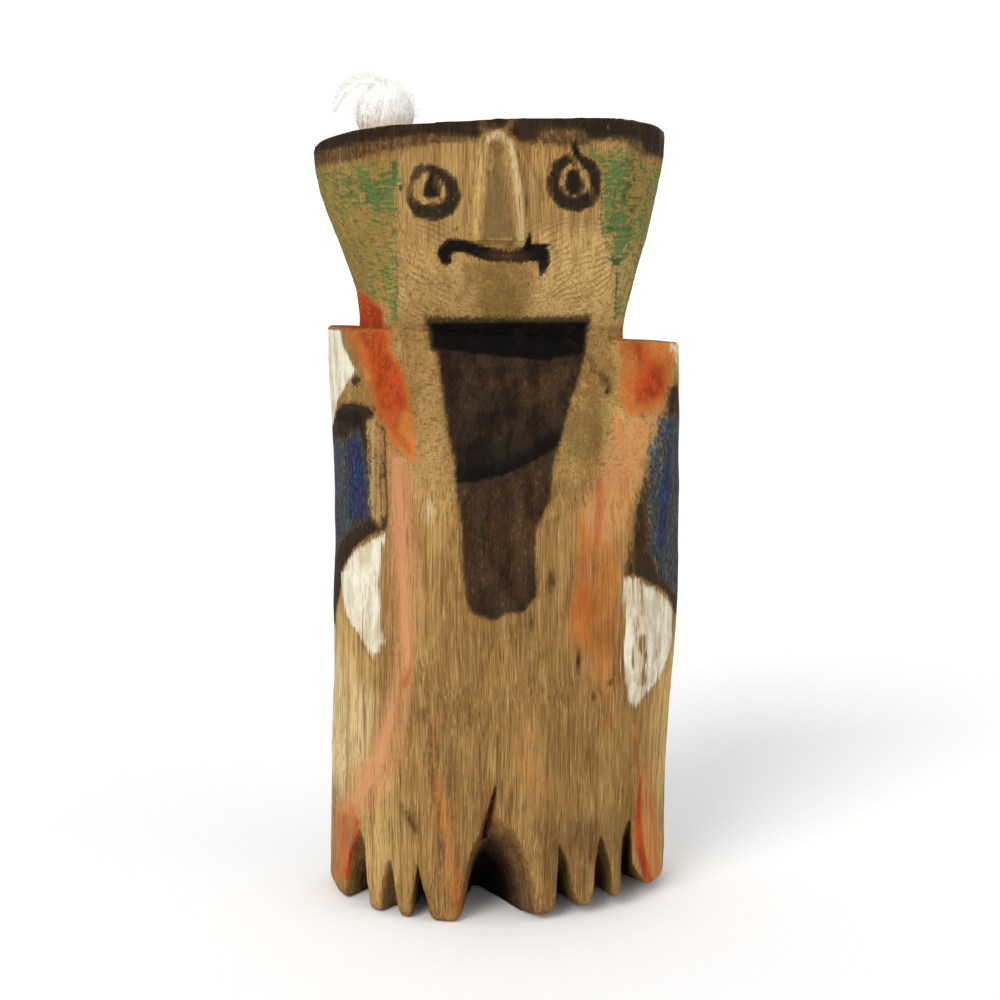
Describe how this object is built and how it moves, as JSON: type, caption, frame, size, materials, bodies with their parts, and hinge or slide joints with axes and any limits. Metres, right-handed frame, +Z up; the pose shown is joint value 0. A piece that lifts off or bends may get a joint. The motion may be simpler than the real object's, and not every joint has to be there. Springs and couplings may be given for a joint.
{
  "type": "kachina doll",
  "caption": "Flat-backed carved and painted wooden kachina doll with a squared head, ridge nose, painted bib and arms, notched hem and a down feather on top.",
  "frame": {"origin": "on the ground under the middle of the doll's bounding box", "axes": "+Z up the doll, -Y the way the painted front faces, +X towards the doll's own left arm"},
  "size_m": [0.1124, 0.056, 0.2493],
  "materials": {
    "painted_wood": "dry cottonwood root with worn matt earth paints in black, red, green, blue and white",
    "down_feather": "soft white down"
  },
  "bodies": {
    "root": {"doll": "painted_wood", "feather": "down_feather"}
  },
  "joints": []
}
